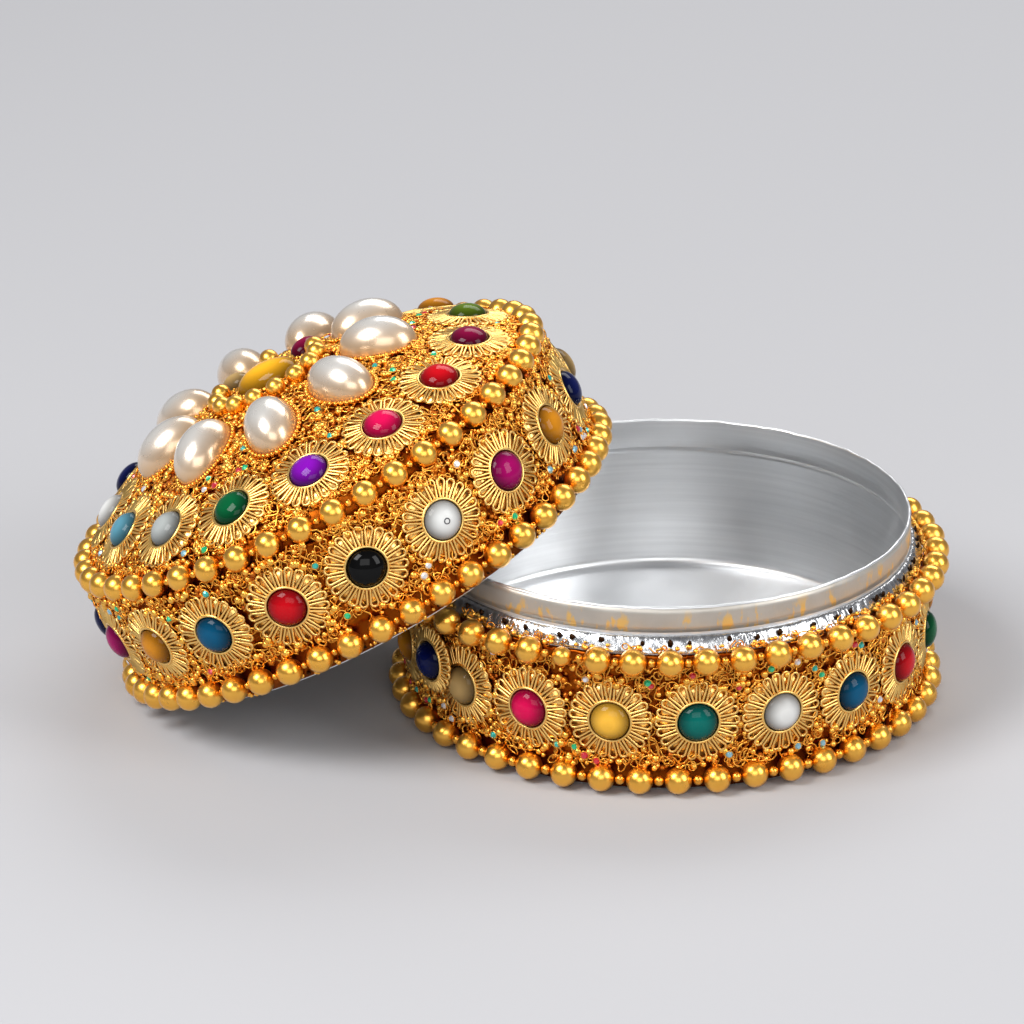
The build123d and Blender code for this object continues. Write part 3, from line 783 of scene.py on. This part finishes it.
skirt_centres = [at(a, SKIRT_LAC_RADIUS, SKIRT_FLOWER_HEIGHT) for a in SKIRT_ANGLES]
pick_skirt = free_on_wall(4.5, 20.2, SKIRT_LAC_RADIUS, skirt_centres, 5.7)
filler("lid_skirt", "lid", pick_skirt, 1350, 900, 1100, ("lid_scrolls",))
dome_centres = [at(a, DOME_FLOWER_RADIUS, dome_height(DOME_FLOWER_RADIUS)) for a in DOME_ANGLES]
pearl_centres = [at(a, PEARL_RING + shift, dome_height(PEARL_RING)) for a in PEARL_ANGLES for shift in (-3, 0, 3)]
crown_centres = [Vector((0, 0, DOME_TOP))]
keeps = [5.7] * len(dome_centres) + [4.2] * len(pearl_centres) + [5.0]
pick_dome = free_on_dome(5.0, 37.4, dome_centres + pearl_centres + crown_centres, keeps)
filler("lid_dome", "lid", pick_dome, 1350, 1000, 1100)
trim_edge("lid_edge", "lid", (LID_OUTER + 0.1, 0.3), (LID_OUTER + 0.8, 1.3), 0, 260, 110)
trim_edge("lid_slope", "lid", (DOME_EDGE + 0.1, DOME_EDGE_HEIGHT + 0.2), (DOME_EDGE - 0.6, DOME_EDGE_HEIGHT + 0.9), 160, 320, 40)
trim_edge("lid_skirt_top", "lid", (SKIRT_LAC_RADIUS + 0.1, 19.3), (SKIRT_LAC_RADIUS - 0.3, 20.3), 120, 260, 40)
# Grey ring painted as the shade inside the white stone's centre hole
hole = bmesh.new()
white_place = skirt_places[SKIRT_COLOURS.index("white")]
hole_rim = wire([(0.42 * cos(2 * pi * i / 24), 0.42 * sin(2 * pi * i / 24), 0.0) for i in range(24)], 0.13, True, 1)
stamp(hole, hole_rim, white_place @ Matrix.Translation((0, 0, STONE_SEAT + 0.27 + STONE_HEIGHT)))
finish_piece("lid_white_stone_hole_shade", hole, HOLE_SHADE_GREY, "lid")
pick_open = free_on_wall(5.4, 19.2, SKIRT_LAC_RADIUS, skirt_centres, 6.9)
open_keeps = [6.9] * len(dome_centres) + [5.0] * len(pearl_centres) + [12.0]
pick_top = free_on_dome(12.0, 36.5, dome_centres + pearl_centres + crown_centres, open_keeps)
chaton_places = [pick_open()(0.75) for i in range(55)] + [pick_top()(0.75) for i in range(50)]
chatons("lid_chaton_stones", "lid", chaton_places, ("lid_chatons",))


# Floor, light and camera

def studio_floor():
    shape = bmesh.new()
    bmesh.ops.create_grid(shape, x_segments=2, y_segments=2, size=8.0)
    mesh = bpy.data.meshes.new("studio_floor")
    shape.to_mesh(mesh)
    shape.free()
    material, tree, shader = new_material("pale_paper", Roughness=0.75)
    shader.inputs["Base Color"].default_value = (0.45, 0.45, 0.465, 1.0)
    shader.inputs["Specular IOR Level"].default_value = 0.15
    mesh.materials.append(material)
    floor = bpy.data.objects.new("studio_floor", mesh)
    bpy.context.scene.collection.objects.link(floor)


def softbox(name, position, target, width, height, power):
    lamp = bpy.data.lights.new(name, "AREA")
    lamp.shape = "RECTANGLE"
    lamp.size, lamp.size_y, lamp.energy = width, height, power
    holder = bpy.data.objects.new(name, lamp)
    aim = (Vector(target) - Vector(position)).to_track_quat("-Z", "Y").to_matrix().to_4x4()
    holder.matrix_world = Matrix.Translation(position) @ aim
    bpy.context.scene.collection.objects.link(holder)


def studio_world():
    world = bpy.data.worlds.new("studio_world")
    bpy.context.scene.world = world
    world.use_nodes = True
    world.node_tree.nodes["Background"].inputs["Color"].default_value = (0.62, 0.62, 0.645, 1.0)
    world.node_tree.nodes["Background"].inputs["Strength"].default_value = 0.42


def set_camera():
    data = bpy.data.cameras.new("photo_camera")
    data.sensor_width = 36.0
    data.lens = FOCAL_PIXELS / FRAME_PIXELS * 36.0
    data.clip_start, data.clip_end = 0.05, 20.0
    camera = bpy.data.objects.new("photo_camera", data)
    forward = Vector((0, cos(CAMERA_PITCH), -sin(CAMERA_PITCH)))
    right = Vector((1, 0, 0))
    up = right.cross(forward)
    right, up = cos(CAMERA_ROLL) * right + sin(CAMERA_ROLL) * up, cos(CAMERA_ROLL) * up - sin(CAMERA_ROLL) * right
    place = (Vector(CAMERA_TARGET) - forward * CAMERA_DISTANCE) * TO_METRES
    axes = Matrix((right, up, -forward)).transposed().to_4x4()
    camera.matrix_world = Matrix.Rotation(CAMERA_TURN, 4, "Z") @ Matrix.Translation(place) @ axes
    bpy.context.scene.collection.objects.link(camera)
    bpy.context.scene.camera = camera


studio_floor()
studio_world()
softbox("key_softbox", (-0.45, -0.35, 0.65), (0, 0, 0.02), 0.42, 0.42, 6.4)
softbox("front_softbox", (0.1, -0.9, 0.5), (0, 0, 0.02), 0.7, 0.5, 2.8)
softbox("side_softbox", (0.6, -0.25, 0.4), (0, 0, 0.02), 0.35, 0.5, 3.0)
softbox("back_softbox", (0.1, 0.6, 0.6), (0, 0, 0.02), 0.7, 0.35, 3.4)
set_camera()
bpy.context.scene.view_settings.view_transform = "Standard"
